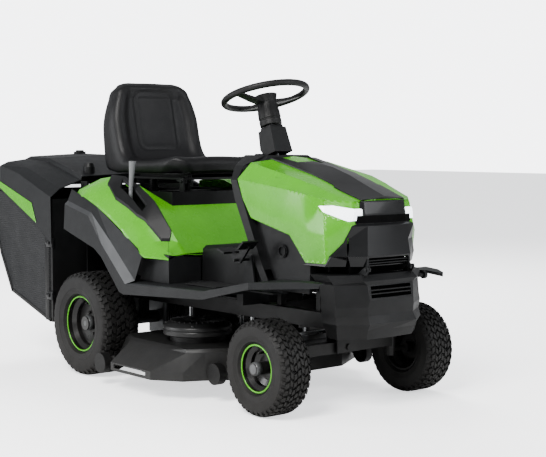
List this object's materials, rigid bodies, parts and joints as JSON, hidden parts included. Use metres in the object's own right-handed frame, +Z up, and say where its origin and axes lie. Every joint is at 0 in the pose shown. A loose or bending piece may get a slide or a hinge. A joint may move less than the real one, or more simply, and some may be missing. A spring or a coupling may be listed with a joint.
{
  "type": "riding lawn mower",
  "caption": "Battery riding mower with hinged hood, steered front axle, tipping seat, height-adjustable cutter deck and tipping rear grass catcher",
  "frame": {"origin": "centre of the footprint on the ground", "axes": "+X forward, +Y to the driver's left, +Z up"},
  "size_m": [2.432, 1.11, 1.2899],
  "materials": {
    "green": "lime green moulded panels",
    "black_plastic": "black moulded plastic with a fine grain",
    "dark_plastic": "charcoal moulded plastic",
    "black_steel": "black powder coat",
    "deck_steel": "charcoal powder coat",
    "bare_steel": "bright steel",
    "cast_housing": "cast aluminium",
    "tyre": "rubber tyre",
    "mat_rubber": "ribbed rubber",
    "rim": "gloss black rim",
    "vinyl": "black seat vinyl",
    "grip": "soft grip",
    "lamp": "clear headlight lens",
    "bag_mesh": "black woven mesh",
    "lever_grip": "grey grip",
    "yellow": "yellow button",
    "display": "dark instrument panel"
  },
  "bodies": {
    "chassis": {"frame": "black_steel", "hitch_plate": "black_steel", "transaxle": "cast_housing", "drive_motor": "cast_housing", "battery_pack": "black_plastic", "lower_body": "dark_plastic", "foot_mats": "mat_rubber", "rear_cover": "green", "lever_consoles": "black_plastic", "seat_box": "black_plastic", "tunnel_cover": "black_plastic", "dash_tower": "black_plastic", "column_cover": "black_plastic", "dash_panel": "display", "bumper": "black_plastic", "tow_knob": "black_plastic", "charge_socket": "black_plastic", "discharge_chute": "black_plastic", "rear_panel": "black_plastic"},
    "front_axle": {"front_axle_beam": "black_steel"},
    "knuckle_r": {"knuckle_right": "black_steel"},
    "knuckle_l": {"knuckle_left": "black_steel"},
    "tie_rod_body": {"tie_rod": "bare_steel"},
    "wheel_fr": {"front_rim_right": "rim", "front_tyre_right": "tyre"},
    "wheel_fl": {"front_rim_left": "rim", "front_tyre_left": "tyre"},
    "wheel_rr": {"rear_rim_right": "rim", "rear_tyre_right": "tyre"},
    "wheel_rl": {"rear_rim_left": "rim", "rear_tyre_left": "tyre"},
    "steering": {"steering_wheel": "grip", "steering_shaft": "bare_steel"},
    "hood": {"hood_shell": "green", "hood_strip": "black_plastic", "hood_grille": "black_plastic", "headlight_right": "lamp", "headlight_left": "lamp"},
    "seat_base": {"seat_frame": "black_steel"},
    "seat": {"seat_shell": "black_plastic", "seat_cushion": "vinyl"},
    "deck": {"deck_shell": "deck_steel", "blade_motors": "deck_steel", "deck_hangers": "bare_steel"},
    "blade_r": {"blade_right": "bare_steel"},
    "blade_l": {"blade_left": "bare_steel"},
    "roller_fr": {"roller_front_right": "black_plastic"},
    "roller_fl": {"roller_front_left": "black_plastic"},
    "roller_rr": {"roller_rear_right": "black_plastic"},
    "roller_rl": {"roller_rear_left": "black_plastic"},
    "lever": {"height_lever": "lever_grip"},
    "catcher": {"catcher_cover": "dark_plastic", "catcher_stripes": "green", "catcher_frame": "black_steel", "catcher_bag": "bag_mesh", "catcher_handle": "black_plastic"},
    "pedal_drive": {"drive_pedal": "black_plastic"},
    "pedal_brake": {"brake_pedal": "black_plastic"},
    "key": {"key_switch": "black_plastic"},
    "button": {"blade_button": "yellow"}
  },
  "joints": [
    {"name": "front_axle_pivot", "type": "hinge", "parent": "chassis", "child": "front_axle", "pos_m": [0.934, 0, 0.2215], "axis": [1, 0, 0], "range_deg": [-5, 5]},
    {"name": "steering_wheel_turn", "type": "hinge", "parent": "chassis", "child": "steering", "pos_m": [0.526, 0, 0.981], "axis": [-0.2924, 0, 0.9563], "range_deg": [-270, 270]},
    {"name": "knuckle_right_turn", "type": "hinge", "parent": "front_axle", "child": "knuckle_r", "pos_m": [0.934, -0.261, 0.2215], "axis": [0, 0, 1], "range_deg": [-28, 28]},
    {"name": "knuckle_left_turn", "type": "hinge", "parent": "front_axle", "child": "knuckle_l", "pos_m": [0.934, 0.261, 0.2215], "axis": [0, 0, 1], "range_deg": [-28, 28]},
    {"name": "tie_rod_slide", "type": "slide", "parent": "front_axle", "child": "tie_rod_body", "axis": [0, 1, 0], "range_m": [-0.0465, 0.0465]},
    {"name": "front_wheel_right_spin", "type": "hinge", "parent": "knuckle_r", "child": "wheel_fr", "pos_m": [0.934, -0.379, 0.1815], "axis": [0, 1, 0], "continuous": true},
    {"name": "front_wheel_left_spin", "type": "hinge", "parent": "knuckle_l", "child": "wheel_fl", "pos_m": [0.934, 0.379, 0.1815], "axis": [0, 1, 0], "continuous": true},
    {"name": "rear_wheel_right_spin", "type": "hinge", "parent": "chassis", "child": "wheel_rr", "pos_m": [-0.24, -0.402, 0.226], "axis": [0, 1, 0], "continuous": true},
    {"name": "rear_wheel_left_spin", "type": "hinge", "parent": "chassis", "child": "wheel_rl", "pos_m": [-0.24, 0.402, 0.226], "axis": [0, 1, 0], "continuous": true},
    {"name": "hood_open", "type": "hinge", "parent": "chassis", "child": "hood", "pos_m": [1.192, 0, 0.548], "axis": [0, 1, 0], "range_deg": [0, 55]},
    {"name": "seat_tip", "type": "hinge", "parent": "chassis", "child": "seat_base", "pos_m": [0.112, 0, 0.85], "axis": [0, 1, 0], "range_deg": [0, 50]},
    {"name": "seat_slide", "type": "slide", "parent": "seat_base", "child": "seat", "axis": [1, 0, 0], "range_m": [-0.05, 0.05]},
    {"name": "deck_height", "type": "slide", "parent": "chassis", "child": "deck", "axis": [0, 0, 1], "range_m": [-0.05, 0]},
    {"name": "height_lever_swing", "type": "hinge", "parent": "chassis", "child": "lever", "pos_m": [-0.008, -0.372, 0.69], "axis": [0, 1, 0], "range_deg": [0, 28]},
    {"name": "blade_right_spin", "type": "hinge", "parent": "deck", "child": "blade_r", "pos_m": [0.337, -0.266, 0.102], "axis": [0, 0, 1], "continuous": true},
    {"name": "blade_left_spin", "type": "hinge", "parent": "deck", "child": "blade_l", "pos_m": [0.337, 0.266, 0.102], "axis": [0, 0, 1], "continuous": true},
    {"name": "roller_front_right_spin", "type": "hinge", "parent": "deck", "child": "roller_fr", "pos_m": [0.6345, -0.392, 0.116], "axis": [0, 1, 0], "continuous": true},
    {"name": "roller_rear_right_spin", "type": "hinge", "parent": "deck", "child": "roller_rr", "pos_m": [0.0265, -0.53, 0.096], "axis": [0, 1, 0], "continuous": true},
    {"name": "roller_front_left_spin", "type": "hinge", "parent": "deck", "child": "roller_fl", "pos_m": [0.6345, 0.392, 0.116], "axis": [0, 1, 0], "continuous": true},
    {"name": "roller_rear_left_spin", "type": "hinge", "parent": "deck", "child": "roller_rl", "pos_m": [0.0265, 0.53, 0.096], "axis": [0, 1, 0], "continuous": true},
    {"name": "catcher_tip", "type": "hinge", "parent": "chassis", "child": "catcher", "pos_m": [-0.512, 0, 0.826], "axis": [0, 1, 0], "range_deg": [0, 75]},
    {"name": "drive_pedal_rock", "type": "hinge", "parent": "chassis", "child": "pedal_drive", "pos_m": [0.669, -0.315, 0.56], "axis": [0, 1, 0], "range_deg": [-14, 14], "stiffness_Nm_per_rad": 6},
    {"name": "brake_pedal_press", "type": "hinge", "parent": "chassis", "child": "pedal_brake", "pos_m": [0.669, 0.315, 0.56], "axis": [0, 1, 0], "range_deg": [0, 18], "stiffness_Nm_per_rad": 6},
    {"name": "key_turn", "type": "hinge", "parent": "chassis", "child": "key", "pos_m": [0.45996, -0.056, 0.92462], "axis": [-0.7431, 0, 0.6691], "range_deg": [0, 90]},
    {"name": "blade_button_pull", "type": "slide", "parent": "chassis", "child": "button", "axis": [-0.7431, 0, 0.6691], "range_m": [-0.004, 0], "stiffness_N_per_m": 400}
  ],
  "couplings": [
    {"joint": "knuckle_right_turn", "follows": "steering_wheel_turn", "ratio": 0.1037},
    {"joint": "knuckle_left_turn", "follows": "steering_wheel_turn", "ratio": 0.1037},
    {"joint": "tie_rod_slide", "follows": "steering_wheel_turn", "m_per_rad": -0.009464},
    {"joint": "height_lever_swing", "follows": "deck_height", "rad_per_m": -9.7738}
  ]
}
